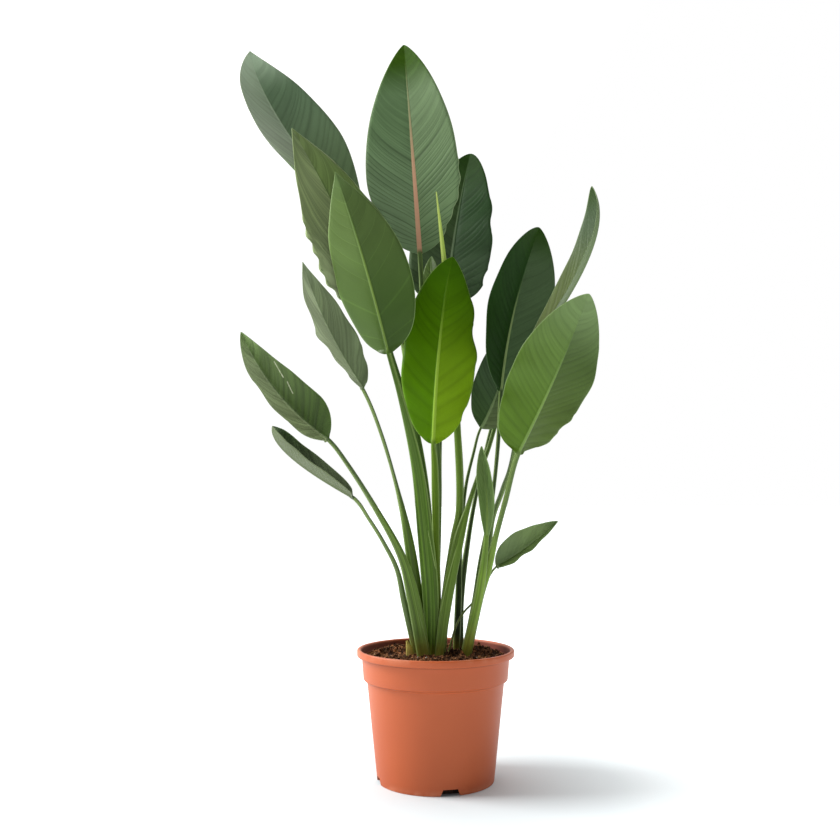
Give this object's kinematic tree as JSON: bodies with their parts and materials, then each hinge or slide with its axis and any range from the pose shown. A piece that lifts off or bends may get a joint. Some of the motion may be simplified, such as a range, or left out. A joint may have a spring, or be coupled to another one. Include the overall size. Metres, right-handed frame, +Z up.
{
  "type": "potted bird of paradise",
  "caption": "Bird of paradise plant with paddle-shaped leaves on long sheathed stalks, a rolled new leaf and soil, in a round tapered plastic nursery pot with a collar and lip.",
  "frame": {"origin": "centre of the pot's flat base, on the ground", "axes": "+Z up along the pot's axis, -Y towards the viewer of the picture, +X to the viewer's right"},
  "size_m": [0.5104, 0.3319, 1.0441],
  "materials": {
    "terracotta_plastic": "satin",
    "soil": "matte",
    "leaf_grey": "satin",
    "leaf_mid": "satin",
    "leaf_dark": "satin",
    "leaf_young": "satin",
    "leaf_rolled": "satin",
    "dry_leaf": "matte"
  },
  "bodies": {
    "root": {"pot": "terracotta_plastic", "leaf_low_left": "leaf_grey", "leaf_back_right": "leaf_dark", "leaf_low_left_folded": "leaf_grey", "leaf_front_left": "leaf_mid", "leaf_young_centre": "leaf_young", "leaf_mid_left": "leaf_grey", "leaf_top": "leaf_grey", "leaf_spear": "leaf_rolled", "leaf_left_back": "leaf_mid", "leaf_right_of_top": "leaf_dark", "leaf_small_centre_back": "leaf_dark", "leaf_upper_left": "leaf_grey", "leaf_small_right_front": "leaf_mid", "leaf_right_front": "leaf_mid", "leaf_right_tall": "leaf_grey", "leaf_right_mid": "leaf_dark", "leaf_right_inner": "leaf_dark", "leaf_back_low": "leaf_dark", "leaf_low_right": "leaf_mid", "dry_leaf_foot": "dry_leaf", "soil": "soil"}
  },
  "joints": []
}
